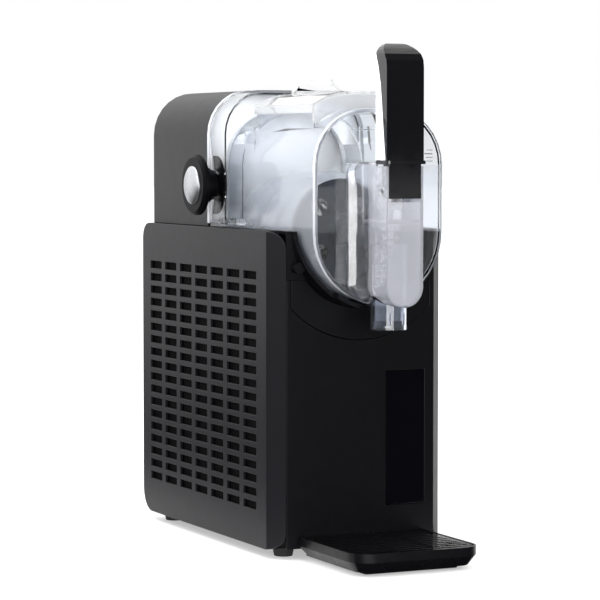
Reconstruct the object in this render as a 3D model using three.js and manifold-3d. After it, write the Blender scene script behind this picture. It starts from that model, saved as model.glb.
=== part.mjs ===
// Counter-top slushie machine: a refrigerated base with a rear drive tower, a clear vessel over a
// chilled drum and scraper auger, a lever tap with a spring-loaded plunger, and a drip tray.
// Units are millimetres. Up is +Z, the front faces -Y and +X is the right-hand side seen from the front.
// All coordinates below use the front panel as Y = 0 and the mid plane as X = 0. The counter is at COUNTER_Z.

import * as THREE from 'three';
import { mergeVertices } from 'three/addons/utils/BufferGeometryUtils.js';
import Module from 'manifold-3d';

const wasm = await Module();
wasm.setup();

// ---------------------------------------------------------------- driving dimensions

const GAP = 0.3;                // clearance left between touching pieces
const COUNTER_Z = 3.4;

// lower housing
const BODY_HALF_WIDTH = 88;
const BODY_DEPTH = 315;
const BODY_BOTTOM = 11.6;
const BODY_TOP = 301;
const SIDE_WALL = 2.5;
const CHAMFER_DEPTH = 14.7;     // how far the slanted front edge of a side panel runs back
const FRONT_HALF_WIDTH = 75;
const PANEL_THICKNESS = 2.5;
const DECK_THICKNESS = 2.7;
const DECK_TOP = BODY_TOP - GAP;
const INNER_HALF_WIDTH = BODY_HALF_WIDTH - SIDE_WALL - GAP;
const REAR_PANEL_START = 290;

// side grille
const GRILLE_COLUMNS = 7;
const GRILLE_ROWS = 18;
const GRILLE_SLOT_LENGTH = 28.7;
const GRILLE_SLOT_HEIGHT = 7.3;
const GRILLE_COLUMN_PITCH = 38;
const GRILLE_ROW_PITCH = 12.39;
const GRILLE_REAR_EDGE = 293.6;
const GRILLE_TOP_EDGE = 263.3;

// rear panel: decorative grooves, power inlet, and screws as X and Z
const REAR_GROOVE_DEPTH = 1.2;
const INLET = { x0: 40, x1: 68, z0: 44, z1: 66 };
const REAR_SCREWS = [[-76, 60], [76, 60], [-76, 262], [76, 262]];

// front panel
const FASCIA_RADIUS = 97;
const FASCIA_CENTRE_Z = 298;
const FASCIA_HALF_WIDTH = 70;
const FASCIA_TOP = 257;
const DISPLAY = { x0: 25.8, x1: 65.3, z0: 48, z1: 172 };

// vessel and its axis
const AXIS_Z = 300;             // height of the drum, auger and drive shaft
const VESSEL_RADIUS = 63;
const VESSEL_WALL = 2.5;
const VESSEL_FRONT = -36.5;
const VESSEL_REAR = 158;
const SHOULDER_Z = 360;
const SHOULDER_RADIUS = 50;
const FLANGE_START = 122;
const TOWER_FRONT = 162;
const FLANGE_BOTTOM = 305;
const HOPPER = { halfWidth: 50, front: -5, rear: 118, base: 385, edge: 414, crown: 424 };
const CRADLE_INNER_RADIUS = 66.5;
const CRADLE_OUTER_RADIUS = 70;
const CRADLE_FRONT = -20;

// tower
const TOWER_HALF_WIDTH = 82;
const TOWER_REAR = 300;
const TOWER_TOP = 430;
const TOWER_CORNER = 42;
const TOWER_WALL = 3;
const BULKHEAD_FRONT = 163;
const BULKHEAD_THICKNESS = 3;

// cold drum, auger and drive
const DRUM_RADIUS = 42;
const DRUM_FRONT = 50;
const DRUM_WALL = 2.5;
const BLADE_INNER = 45;
const BLADE_OUTER = 54;
const BLADE_THICKNESS = 4;
const AUGER_DISC = { front: 40, rear: 44, radius: 47.5 };
const SHAFT_RADIUS = 5;
const GEARBOX_FRONT = 184;
const GEARBOX_REAR = 212;

// tap
const TAP_Y = -55;
const COLUMN_HALF_WIDTH = 18.2;
const COLUMN_FRONT = -86.5;
const COLUMN_REAR = VESSEL_FRONT - GAP;
const FLARE_RADIUS = 15;        // cove where the column widens to meet the vessel
const FLARE_FRONT = COLUMN_REAR - 1.2 - FLARE_RADIUS;
const COLUMN_BOTTOM = 235;
const COLUMN_SIDE_TOP = 359.5;  // top of the side walls under the handle
const COLUMN_TOP = 363.2;
const COLUMN_HOOD_FRONT = -65;  // front edge of the closed part of the column's top
const COLUMN_WALL = 2.2;
const TAP_BORE = 12.6;
const SPIGOT_RADIUS = 14;
const TAP_TUBE_RADIUS = 16.6;
const NOZZLE_RADIUS = 16.4;
const NOZZLE_BOTTOM = 214;
const PIVOT = { y: -79, z: 338.5, radius: 2 };
const LEVER_PIN_REACH = 24;     // from the handle pivot back to the pin that lifts the plunger
const HANDLE_FRONT = -87;
const HANDLE_REAR = -65;
const HANDLE_TOP = 468;
const PADDLE_HALF_WIDTH = 18.4;
const TONGUE_HALF_WIDTH = 15.6;
const HANDLE_FLANGE = { halfWidth: 19.6, front: -90.5, rear: -66, bottom: 361.3, top: 364.5 };

// lock knob
const KNOB = { y: 150, z: 340.5, radius: 28.5, inner: -96.5, outer: -103, cap: -105.5, hub: 11.5, notch: 14 };
const KNOB_COLLAR = { radius: 16.3, end: -87 };

// drip tray
const TRAY = { halfWidth: 63, front: -119, rear: -0.5, top: 24, bottom: 3.7, corner: 20, wall: 2.5 };
const GRID = { bottom: 21, top: 23.6, groups: 3, rows: 11, slot: 3.8 };

// the exported origin sits on the counter under the middle of the outer box
const ORIGIN_X = (KNOB.cap + BODY_HALF_WIDTH) / 2;
const ORIGIN_Y = (TRAY.front + BODY_DEPTH) / 2;

// ---------------------------------------------------------------- finishes

const finish = (color, roughness, metalness = 0) => ({ color, roughness, metalness });
const GREY_PLASTIC = finish(0x3b3c40, 0.5);
const BLACK_PLASTIC = finish(0x151517, 0.45);
const GLOSS_BLACK = finish(0x08080a, 0.12);
const CLEAR_PLASTIC = { ...finish(0xdfe6ec, 0.08), transparent: true, opacity: 0.3 };
const WHITE_PLASTIC = finish(0xe6e9ec, 0.4);
const CHROME = finish(0xd8d9dc, 0.2, 1);
const STEEL = finish(0xb4b8bc, 0.3, 1);
const COPPER = finish(0xb87345, 0.35, 1);
const ALUMINIUM = finish(0xc4c7ca, 0.4, 1);
const RUBBER = finish(0x1b1b1c, 0.9);
const BOARD_GREEN = finish(0x1f5a38, 0.6);
const DARK_METAL = finish(0x1d1e20, 0.45, 0.6);

// ---------------------------------------------------------------- solid helpers

function toSolid(geometry) {
  geometry.deleteAttribute('normal');
  geometry.deleteAttribute('uv');
  const merged = mergeVertices(geometry, 1e-4);
  const vertProperties = Float32Array.from(merged.attributes.position.array);
  const triVerts = Uint32Array.from(merged.index.array);
  return new wasm.Manifold(new wasm.Mesh({ numProp: 3, vertProperties, triVerts }));
}

function toGeometry(solid) {
  const mesh = solid.getMesh();
  const geometry = new THREE.BufferGeometry();
  const positions = Float32Array.from(mesh.vertProperties);
  geometry.setAttribute('position', new THREE.BufferAttribute(positions, 3));
  geometry.setIndex(new THREE.BufferAttribute(Uint32Array.from(mesh.triVerts), 1));
  geometry.computeVertexNormals();
  return geometry;
}

const union = (solids) => solids.reduce((a, b) => a.add(b));
const cut = (solid, tools) => tools.reduce((a, b) => a.subtract(b), solid);

function box(x0, x1, y0, y1, z0, z1) {
  const geometry = new THREE.BoxGeometry(x1 - x0, y1 - y0, z1 - z0);
  geometry.translate((x0 + x1) / 2, (y0 + y1) / 2, (z0 + z1) / 2);
  return toSolid(geometry);
}

// Turns (a, b, depth) into (depth, a, b): a section drawn in Y and Z, extruded along X.
const YZ_SECTION = new THREE.Matrix4().set(0, 0, 1, 0, 1, 0, 0, 0, 0, 1, 0, 0, 0, 0, 0, 1);

// Extrudes a flat outline along one axis. The outline is (Y, Z) for X, (X, Z) for Y and (X, Y) for Z.
function prism(points, from, to, axis) {
  const shape = new THREE.Shape(points.map(([a, b]) => new THREE.Vector2(a, b)));
  const geometry = new THREE.ExtrudeGeometry(shape, { depth: to - from, bevelEnabled: false });
  if (axis === 'Y') {
    geometry.translate(0, 0, -to);
    geometry.rotateX(Math.PI / 2);
  } else {
    geometry.translate(0, 0, from);
    if (axis === 'X') geometry.applyMatrix4(YZ_SECTION);
  }
  return toSolid(geometry);
}

// Points of an arc, in degrees, both ends included.
function arc(cx, cy, radius, from, to, steps) {
  const points = [];
  for (let i = 0; i <= steps; i += 1) {
    const angle = THREE.MathUtils.degToRad(from + ((to - from) * i) / steps);
    points.push([cx + radius * Math.cos(angle), cy + radius * Math.sin(angle)]);
  }
  return points;
}

const circle = (cx, cy, radius, steps) => arc(cx, cy, radius, 0, 360, steps).slice(0, steps);

// A cylinder along an axis. (c1, c2) is its centre in the section plane of that axis.
function rod(axis, c1, c2, radius, from, to, steps = 24) {
  return prism(circle(c1, c2, radius, steps), from, to, axis);
}

function ring(axis, c1, c2, outer, inner, from, to, steps = 24) {
  return rod(axis, c1, c2, outer, from, to, steps)
    .subtract(rod(axis, c1, c2, inner, from - 1, to + 1, steps));
}

function roundedRect(a0, a1, b0, b1, r, steps = 4) {
  return [
    ...arc(a0 + r, b0 + r, r, 180, 270, steps),
    ...arc(a1 - r, b0 + r, r, 270, 360, steps),
    ...arc(a1 - r, b1 - r, r, 0, 90, steps),
    ...arc(a0 + r, b1 - r, r, 90, 180, steps),
  ];
}

// Closed body through a row of convex rings that each run anticlockwise about the direction of travel.
function skin(rings) {
  const count = rings[0].length;
  const positions = [];
  const index = [];
  for (const points of rings) {
    for (const point of points) positions.push(...point);
  }
  for (let i = 0; i + 1 < rings.length; i += 1) {
    for (let j = 0; j < count; j += 1) {
      const next = (j + 1) % count;
      const a = i * count + j;
      const b = i * count + next;
      const c = (i + 1) * count + next;
      const d = (i + 1) * count + j;
      index.push(a, b, c, a, c, d);
    }
  }
  const last = (rings.length - 1) * count;
  for (let j = 1; j + 1 < count; j += 1) {
    index.push(0, j + 1, j);
    index.push(last, last + j, last + j + 1);
  }
  const geometry = new THREE.BufferGeometry();
  geometry.setAttribute('position', new THREE.BufferAttribute(new Float32Array(positions), 3));
  geometry.setIndex(index);
  return toSolid(geometry);
}

// ---------------------------------------------------------------- outlines

// Side view of the lower housing, in Y and Z.
function bodyOutline(inset = 0) {
  const y0 = inset;
  const y1 = BODY_DEPTH - inset;
  const z0 = BODY_BOTTOM + inset;
  const z1 = BODY_TOP - inset;
  const lowRear = 22 - inset;
  const topRear = 15 - inset;
  const front = 18 - inset;
  return [
    ...arc(y0 + front, z0 + front, front, 180, 270, 4),
    ...arc(y1 - lowRear, z0 + lowRear, lowRear, 270, 360, 5),
    ...arc(y1 - topRear, z1 - topRear, topRear, 0, 90, 4),
    ...arc(y0 + front, z1 - front, front, 90, 180, 4),
  ];
}

// Front view of the vessel, in X and Z: a round bottom, upright sides and broad round shoulders.
function vesselOutline(inset = 0) {
  const shoulder = SHOULDER_RADIUS - inset;
  const offset = VESSEL_RADIUS - SHOULDER_RADIUS;
  return [
    ...arc(0, AXIS_Z, VESSEL_RADIUS - inset, 180, 360, 20),
    ...arc(offset, SHOULDER_Z, shoulder, 0, 90, 8),
    ...arc(-offset, SHOULDER_Z, shoulder, 90, 180, 8),
  ];
}

// Front view of the tower and of the vessel's rear flange, in X and Z.
function towerOutline(inset, bottom) {
  const side = TOWER_HALF_WIDTH - inset;
  const corner = TOWER_CORNER - inset;
  const centreX = TOWER_HALF_WIDTH - TOWER_CORNER;
  const centreZ = TOWER_TOP - TOWER_CORNER;
  return [
    [-side, bottom],
    [side, bottom],
    ...arc(centreX, centreZ, corner, 0, 90, 7),
    ...arc(-centreX, centreZ, corner, 90, 180, 7),
  ];
}

// Gentle crown across the hopper and the lid, in X and Z, from right to left.
function crown(halfWidth, lift, steps = 8) {
  const rise = HOPPER.crown - HOPPER.edge;
  const points = [];
  for (let i = 0; i <= steps; i += 1) {
    const x = halfWidth - (2 * halfWidth * i) / steps;
    const t = Math.abs(x) / HOPPER.halfWidth;
    points.push([x, HOPPER.crown - rise * t ** 3 + lift]);
  }
  return points;
}

// Front view of the tap column, in X and Z: a tall U whose bottom keeps its depth where the column flares.
function columnOutline(halfWidth, top, depth) {
  const centreZ = COLUMN_BOTTOM + COLUMN_HALF_WIDTH;
  const corner = 0.5 + 0.8 * Math.max(halfWidth - COLUMN_HALF_WIDTH, 0);
  return [
    ...arc(0, 0, 1, 180, 360, 18).map(([a, b]) => [a * halfWidth, centreZ + b * depth]),
    ...arc(halfWidth - corner, top - corner, corner, 0, 90, 3),
    ...arc(-halfWidth + corner, top - corner, corner, 90, 180, 3),
  ];
}

// Half-width of the column at a depth: parallel sides, then a cove out to the vessel.
function columnHalfWidth(y) {
  const t = THREE.MathUtils.clamp((y - FLARE_FRONT) / FLARE_RADIUS, 0, 1);
  return COLUMN_HALF_WIDTH + FLARE_RADIUS * (1 - Math.sqrt(1 - t * t));
}

function columnSolid(front, rear, inset, top) {
  const steps = 8;
  const depths = [front];
  for (let i = 0; i <= steps; i += 1) {
    const angle = (i * Math.PI) / (2 * steps);
    depths.push(FLARE_FRONT + inset + FLARE_RADIUS * Math.sin(angle));
  }
  depths.push(rear);
  return skin(depths.map((y) => (
    columnOutline(columnHalfWidth(y - inset) - inset, top, COLUMN_HALF_WIDTH - inset)
      .reverse().map(([x, z]) => [x, y, z])
  )));
}

// Top view of the drip tray, in X and Y, anticlockwise.
function trayOutline(inset = 0) {
  const x = TRAY.halfWidth - inset;
  const y0 = TRAY.front + inset;
  const y1 = TRAY.rear - inset;
  const r = Math.max(TRAY.corner - inset, 2);
  return [
    ...arc(-x + r, y0 + r, r, 180, 270, 5),
    ...arc(x - r, y0 + r, r, 270, 360, 5),
    [x, y1],
    [-x, y1],
  ];
}

// ---------------------------------------------------------------- lower housing

function sidePanel(side) {
  const outer = BODY_HALF_WIDTH;
  const inner = BODY_HALF_WIDTH - SIDE_WALL;
  const plan = [
    [outer, CHAMFER_DEPTH],
    [outer, BODY_DEPTH],
    [inner, BODY_DEPTH],
    [inner, CHAMFER_DEPTH + 1.3],
    [FRONT_HALF_WIDTH + 0.2, 2.9],
    [FRONT_HALF_WIDTH, 0],
  ];
  const blank = prism(plan.map(([x, y]) => [side * x, y]), BODY_BOTTOM, BODY_TOP, 'Z');
  const profile = prism(bodyOutline(), -100, 100, 'X');
  const slots = [];
  const [x0, x1] = side > 0 ? [inner - 2, outer + 2] : [-outer - 2, -inner + 2];
  for (let column = 0; column < GRILLE_COLUMNS; column += 1) {
    const y1 = GRILLE_REAR_EDGE - column * GRILLE_COLUMN_PITCH;
    for (let row = 0; row < GRILLE_ROWS; row += 1) {
      const z1 = GRILLE_TOP_EDGE - row * GRILLE_ROW_PITCH;
      slots.push(box(x0, x1, y1 - GRILLE_SLOT_LENGTH, y1, z1 - GRILLE_SLOT_HEIGHT, z1));
    }
  }
  return cut(blank.intersect(profile), slots);
}

function basePan() {
  const outer = box(-INNER_HALF_WIDTH, INNER_HALF_WIDTH, 18, REAR_PANEL_START - GAP, BODY_BOTTOM, 26);
  const inner = box(-INNER_HALF_WIDTH + 2, INNER_HALF_WIDTH - 2, 20, REAR_PANEL_START - 2 - GAP, 14, 30);
  return outer.subtract(inner);
}

function lowerFrontPanel() {
  const half = FRONT_HALF_WIDTH - GAP;
  const start = THREE.MathUtils.radToDeg(Math.asin(FASCIA_HALF_WIDTH / FASCIA_RADIUS));
  const outline = [
    [-half, 13],
    [half, 13],
    [half, FASCIA_TOP],
    [FASCIA_HALF_WIDTH, FASCIA_TOP],
    ...arc(0, FASCIA_CENTRE_Z, FASCIA_RADIUS, 270 + start, 270 - start, 16),
    [-FASCIA_HALF_WIDTH, FASCIA_TOP],
    [-half, FASCIA_TOP],
  ];
  const plate = prism(outline, 0, PANEL_THICKNESS, 'Y');
  const window = box(DISPLAY.x0, DISPLAY.x1, -5, 5, DISPLAY.z0, DISPLAY.z1);
  const traySlot = box(-50, 50, -5, 5, 10, 18);
  return cut(plate, [window, traySlot]);
}

function arcFascia() {
  const half = FASCIA_HALF_WIDTH - GAP;
  const radius = FASCIA_RADIUS - GAP;
  const start = THREE.MathUtils.radToDeg(Math.asin(half / radius));
  const outline = [
    ...arc(0, FASCIA_CENTRE_Z, radius, 270 - start, 270 + start, 16),
    [half, FASCIA_TOP - GAP],
    [-half, FASCIA_TOP - GAP],
  ];
  const trough = rod('Y', 0, AXIS_Z, CRADLE_OUTER_RADIUS + GAP, -1, PANEL_THICKNESS + 1, 48);
  return prism(outline, 0, PANEL_THICKNESS, 'Y').subtract(trough);
}

function cradleDeck() {
  const half = FRONT_HALF_WIDTH - GAP;
  const deckRear = TOWER_FRONT - GAP;
  const below = box(-90, 90, CRADLE_FRONT, deckRear, 200, DECK_TOP);
  const pipe = rod('Y', 0, AXIS_Z, CRADLE_OUTER_RADIUS, CRADLE_FRONT, deckRear, 48).intersect(below);
  const deck = box(-INNER_HALF_WIDTH, INNER_HALF_WIDTH, 17, deckRear, DECK_TOP - DECK_THICKNESS, DECK_TOP);
  const deckFront = box(-half + 1, half - 1, 0, 20, DECK_TOP - DECK_THICKNESS, DECK_TOP);
  const face = box(-half, half, 0, PANEL_THICKNESS, FASCIA_TOP, DECK_TOP);
  const hooks = [-1, 1].map((side) => rod('Y', side * 65.5, 268, 5, -9, 1, 14));
  const hollow = rod('Y', 0, AXIS_Z, CRADLE_INNER_RADIUS, CRADLE_FRONT - 1, deckRear + 1, 48);
  // the front edge of the trough sweeps back as it climbs to the deck
  const sweep = prism([[CRADLE_FRONT - 1, 250], [-4, DECK_TOP + 1], [CRADLE_FRONT - 1, DECK_TOP + 1]],
    -100, 100, 'X');
  const lip = box(-38, 38, -31, CRADLE_FRONT + 2, 228.5, 246)
    .intersect(rod('Y', 0, AXIS_Z, CRADLE_OUTER_RADIUS, -32, CRADLE_FRONT + 3, 48));
  return cut(union([pipe, deck, deckFront, face, ...hooks, lip]), [hollow, sweep,
    rod('Y', 0, AXIS_Z, CRADLE_INNER_RADIUS, -33, CRADLE_FRONT, 48)]);
}

function rearDeck() {
  const front = BULKHEAD_FRONT + BULKHEAD_THICKNESS + GAP;
  const rear = REAR_PANEL_START - GAP;
  const plate = box(-INNER_HALF_WIDTH, INNER_HALF_WIDTH, front, rear, DECK_TOP - DECK_THICKNESS, DECK_TOP);
  return plate.subtract(box(-60, 60, front - 4, rear - 12, 290, 310));
}

function rearPanel() {
  const wrap = prism(bodyOutline(), -INNER_HALF_WIDTH, INNER_HALF_WIDTH, 'X')
    .subtract(prism(bodyOutline(2.2), -100, 100, 'X'))
    .intersect(box(-100, 100, REAR_PANEL_START, 320, 0, 310));
  const recesses = [];
  for (let row = 0; row < 9; row += 1) {
    const z = 110 + row * 14;
    recesses.push(box(-58, 58, BODY_DEPTH - REAR_GROOVE_DEPTH, 320, z, z + 6));
  }
  recesses.push(box(INLET.x0 - GAP, INLET.x1 + GAP, 308, 320, INLET.z0 - GAP, INLET.z1 + GAP));
  const screwHoles = REAR_SCREWS.map(([x, z]) => rod('Y', x, z, 3.8, 308, 320, 12));
  return cut(wrap, [...recesses, ...screwHoles]);
}

function rearScrew(x, z) {
  const head = rod('Y', x, z, 3.4, BODY_DEPTH - GAP - 1.9, BODY_DEPTH - GAP, 12);
  return head.subtract(box(x - 2.2, x + 2.2, BODY_DEPTH - 1.2, BODY_DEPTH + 1, z - 0.5, z + 0.5));
}

function foot(x, y) {
  return skin([
    circle(x, y, 8.5, 16).map(([a, b]) => [a, b, COUNTER_Z]),
    circle(x, y, 10, 16).map(([a, b]) => [a, b, BODY_BOTTOM - GAP]),
  ]);
}

function displayGlass() {
  return box(DISPLAY.x0 + GAP, DISPLAY.x1 - GAP, 0.2, 2.2, DISPLAY.z0 + GAP, DISPLAY.z1 - GAP);
}

function displayBoard() {
  const board = box(DISPLAY.x0 - 6, DISPLAY.x1 + 6, 5, 6.6, DISPLAY.z0 - 4, DISPLAY.z1 + 4);
  const chips = [70, 105, 140].map((z) => box(38, 52, 6.4, 9.2, z, z + 14));
  return union([board, ...chips]);
}

function powerInlet() {
  const body = box(INLET.x0, INLET.x1, 292, BODY_DEPTH - 0.2, INLET.z0, INLET.z1);
  const socket = box(INLET.x0 + 3, INLET.x1 - 3, 300, 320, INLET.z0 + 3, INLET.z1 - 3);
  const pins = [48, 54, 60].map((x) => box(x - 1, x + 1, 299, 310, 53, 57));
  return union([body.subtract(socket), ...pins]);
}

// ---------------------------------------------------------------- tower and drive

function towerShell() {
  const outer = prism(towerOutline(0, BODY_TOP), TOWER_FRONT, TOWER_REAR, 'Y');
  const inner = prism(towerOutline(TOWER_WALL, BODY_TOP - 5), TOWER_FRONT - 1, TOWER_REAR - TOWER_WALL, 'Y');
  const slots = [];
  for (let row = 0; row < 5; row += 1) {
    const z = 340 + row * 12;
    slots.push(box(-40, 40, TOWER_REAR - 5, TOWER_REAR + 2, z, z + 5));
  }
  return cut(outer, [inner, ...slots]);
}

function bulkhead() {
  const rear = BULKHEAD_FRONT + BULKHEAD_THICKNESS;
  const upper = prism(towerOutline(TOWER_WALL + GAP, BODY_TOP), BULKHEAD_FRONT, rear, 'Y');
  const lower = rod('Y', 0, AXIS_Z, CRADLE_OUTER_RADIUS, BULKHEAD_FRONT, rear, 48)
    .intersect(box(-80, 80, 150, 170, 200, BODY_TOP + 1));
  const shaftHole = rod('Y', 0, AXIS_Z, SHAFT_RADIUS + 1, 150, 170, 20);
  const pipeHoles = [-22, 22].map((x) => rod('Y', x, AXIS_Z - 14, 5, 150, 170, 14));
  return cut(upper.add(lower), [shaftHole, ...pipeHoles]);
}

function evaporatorDrum() {
  const rear = BULKHEAD_FRONT - GAP;
  const wall = rod('Y', 0, AXIS_Z, DRUM_RADIUS, DRUM_FRONT, rear, 40);
  const flange = rod('Y', 0, AXIS_Z, DRUM_RADIUS + 6, rear - 3, rear, 40);
  const hollow = rod('Y', 0, AXIS_Z, DRUM_RADIUS - DRUM_WALL, DRUM_FRONT + 3, rear + 1, 40);
  const shaftHole = rod('Y', 0, AXIS_Z, SHAFT_RADIUS + 1, 40, 60, 20);
  return cut(wall.add(flange), [hollow, shaftHole]);
}

function frontBearing() {
  return ring('Y', 0, AXIS_Z, 11, SHAFT_RADIUS + GAP, AUGER_DISC.rear + 1, DRUM_FRONT - GAP, 20);
}

// Helical scraper blade round the drum.
function blade(startAngle, turns, y0, y1, steps) {
  const rings = [];
  const half = BLADE_THICKNESS / 2;
  for (let i = 0; i <= steps; i += 1) {
    const angle = startAngle + (turns * Math.PI * 2 * i) / steps;
    const y = y0 + ((y1 - y0) * i) / steps;
    const cos = Math.cos(angle);
    const sin = Math.sin(angle);
    const at = (radius, shift) => [radius * cos, y + shift, AXIS_Z + radius * sin];
    rings.push([at(BLADE_INNER, -half), at(BLADE_OUTER, -half), at(BLADE_OUTER, half), at(BLADE_INNER, half)]);
  }
  return skin(rings);
}

function auger() {
  const disc = rod('Y', 0, AXIS_Z, AUGER_DISC.radius, AUGER_DISC.front, AUGER_DISC.rear, 32);
  const nose = skin([[26, 8], [29, 12], [41, 16]].map(([y, r]) => (
    circle(0, AXIS_Z, r, 20).reverse().map(([x, z]) => [x, y, z])
  )));
  const rearRing = ring('Y', 0, AXIS_Z, 49, 44.5, 146, 151, 32);
  const blades = [0, Math.PI].map((angle) => blade(angle, 1.25, AUGER_DISC.rear - 2, 148, 30));
  const windows = [45, 135, 225, 315].map((degrees) => {
    const angle = THREE.MathUtils.degToRad(degrees);
    return rod('Y', 30 * Math.cos(angle), AXIS_Z + 30 * Math.sin(angle), 8, 38, 46, 14);
  });
  const bore = rod('Y', 0, AXIS_Z, SHAFT_RADIUS + GAP, 33, 60, 20);
  return cut(union([disc, nose, rearRing, ...blades]), [...windows, bore]);
}

function driveShaft() {
  return rod('Y', 0, AXIS_Z, SHAFT_RADIUS, 34, GEARBOX_FRONT + 12, 20);
}

function gearbox() {
  const casing = prism(roundedRect(-34, 34, 266, 334, 9, 3), GEARBOX_FRONT, GEARBOX_REAR, 'Y');
  const lugs = [-1, 1].map((side) => box(side * 38 - 7, side * 38 + 7, BULKHEAD_FRONT + BULKHEAD_THICKNESS + GAP,
    GEARBOX_FRONT + 4, 304, 320));
  const bore = rod('Y', 0, AXIS_Z, SHAFT_RADIUS + GAP, 160, GEARBOX_FRONT + 14, 20);
  return casing.add(union(lugs)).subtract(bore);
}

function driveMotor() {
  const can = rod('Y', 0, AXIS_Z, 28, GEARBOX_REAR + GAP, 272, 28);
  const cap = rod('Y', 0, AXIS_Z, 20, 272, 277, 20);
  return can.add(cap);
}

// ---------------------------------------------------------------- refrigeration

function compressor() {
  const x = 18;
  const y = 232;
  const level = (z, r) => circle(x, y, r, 24).map(([a, b]) => [a, b, z]);
  const can = skin([level(20, 38), level(24, 44), level(118, 44), level(134, 36), level(142, 18)]);
  const bracket = box(x - 50, x + 50, y - 42, y + 42, 14.3, 20.2);
  return can.add(bracket);
}

function condenserCore() {
  const block = box(-82, -65, 44, 184, 40, 216);
  const grooves = [];
  for (let i = 0; i < 22; i += 1) {
    const y = 47 + i * 6.2;
    grooves.push(box(-84, -74.5, y, y + 4, 30, 220));
  }
  return cut(block, grooves);
}

const FAN = { y: 115, z: 128, radius: 56 };

function fanShroud() {
  const plate = box(-63, -60, 42, 188, 26.5, 218);
  const throat = ring('X', FAN.y, FAN.z, FAN.radius + 6, FAN.radius + 3, -61, -46, 32);
  return plate.subtract(rod('X', FAN.y, FAN.z, FAN.radius + 3, -70, -50, 32)).add(throat);
}

function fanRotor() {
  const hub = rod('X', FAN.y, FAN.z, 14, -58, -44, 20);
  const blades = [];
  for (let i = 0; i < 6; i += 1) {
    const angle = (i * Math.PI) / 3;
    const outline = [[10, -56], [FAN.radius, -54], [FAN.radius, -50], [10, -46]];
    const rings = [0, 0.5].map((twist, step) => outline.map(([r, x]) => {
      const a = angle + twist;
      const shift = step ? 2 : -2;
      return [x + shift + 2, FAN.y + r * Math.cos(a), FAN.z + r * Math.sin(a)];
    }).reverse());
    blades.push(skin(rings));
  }
  return union([hub, ...blades]).subtract(rod('X', FAN.y, FAN.z, 2.5, -50, -40, 12));
}

function fanMotor() {
  const can = rod('X', FAN.y, FAN.z, 17, -40, -12, 22);
  const spindle = rod('X', FAN.y, FAN.z, 2.2, -49, -39, 12);
  const post = box(-32, -20, FAN.y - 9, FAN.y + 9, 16, FAN.z);
  const base = box(-46, -8, FAN.y - 22, FAN.y + 22, 14.3, 17);
  return union([can, spindle, post, base]);
}

function sweepTube(points, radius, steps) {
  const path = new THREE.CatmullRomCurve3(points.map((p) => new THREE.Vector3(...p)), false, 'catmullrom', 0.4);
  const shape = new THREE.Shape(circle(0, 0, radius, 8).map(([a, b]) => new THREE.Vector2(a, b)));
  return toSolid(new THREE.ExtrudeGeometry(shape, { steps, bevelEnabled: false, extrudePath: path }));
}

function suctionLine() {
  return sweepTube([[22, 150, 286], [22, 167, 286], [22, 175, 276], [24, 176, 250], [30, 180, 205],
    [26, 205, 172], [20, 228, 166], [18, 232, 147]], 3.5, 22);
}

function liquidLine() {
  return sweepTube([[-22, 150, 286], [-22, 167, 286], [-22, 175, 276], [-24, 177, 250], [-40, 194, 222],
    [-66, 203, 206], [-73.5, 188, 200]], 2.5, 20);
}

function controlBoard() {
  const board = box(60, 61.8, 40, 140, 60, 215);
  const parts = [
    box(44, 60.5, 50, 74, 70, 96),
    box(50, 60.5, 84, 130, 80, 112),
    rod('X', 62, 140, 9, 40, 60.5, 16),
    box(52, 60.5, 90, 128, 150, 190),
  ];
  return union([board, ...parts]);
}

// ---------------------------------------------------------------- vessel and lid

function vessel() {
  const shell = prism(vesselOutline(), VESSEL_FRONT, VESSEL_REAR, 'Y');
  const rim = prism(vesselOutline(-0.6), VESSEL_FRONT, VESSEL_FRONT + 5, 'Y');
  const hopperOutline = [
    [-HOPPER.halfWidth, HOPPER.base],
    [HOPPER.halfWidth, HOPPER.base],
    ...crown(HOPPER.halfWidth, 0),
  ];
  const hopper = prism(hopperOutline, HOPPER.front, HOPPER.rear, 'Y');
  const flangeRear = TOWER_FRONT - GAP;
  const skirt = prism(towerOutline(0, FLANGE_BOTTOM), FLANGE_START, flangeRear, 'Y')
    .subtract(prism(towerOutline(VESSEL_WALL, FLANGE_BOTTOM + VESSEL_WALL), FLANGE_START + VESSEL_WALL, 170, 'Y'));
  const bead = prism(towerOutline(-0.8, FLANGE_BOTTOM - 0.8), flangeRear - 5, flangeRear, 'Y')
    .subtract(prism(towerOutline(VESSEL_WALL, FLANGE_BOTTOM + VESSEL_WALL), 150, 170, 'Y'));
  const rails = [-1, 1].map((side) => box(side * 67 - 3.2, side * 67 + 3.2, 100, flangeRear, 303, 309));
  const gussets = [-1, 1].map((side) => prism([[100, 372], [FLANGE_START + 1, 352], [FLANGE_START + 1, 396],
    [104, 396]], side * 60 - 1.2, side * 60 + 1.2, 'X'));
  const solid = union([shell, rim, hopper, skirt, bead, ...rails, ...gussets]);
  const wall = VESSEL_WALL;
  const inside = prism(vesselOutline(wall), VESSEL_FRONT + wall, 170, 'Y');
  const mouth = box(-HOPPER.halfWidth + wall, HOPPER.halfWidth - wall, HOPPER.front + wall,
    HOPPER.rear - wall, HOPPER.base - 5, 440);
  const outlet = box(-8, 8, VESSEL_FRONT - 2, VESSEL_FRONT + 5, 245, 256);
  const notch = rod('X', KNOB.y, KNOB.z, KNOB.notch, -86, -77, 24)
    .add(box(-86, -77, KNOB.y, 170, KNOB.z - KNOB.notch, KNOB.z + KNOB.notch));
  const sealSeat = prism(vesselOutline(-1), VESSEL_REAR, 170, 'Y');
  return cut(solid, [inside, mouth, outlet, notch, sealSeat]);
}

function vesselSeal() {
  return prism(vesselOutline(-0.5), VESSEL_REAR + GAP, BULKHEAD_FRONT - GAP - 0.2, 'Y')
    .subtract(prism(vesselOutline(3.5), 150, 170, 'Y'));
}

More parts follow.
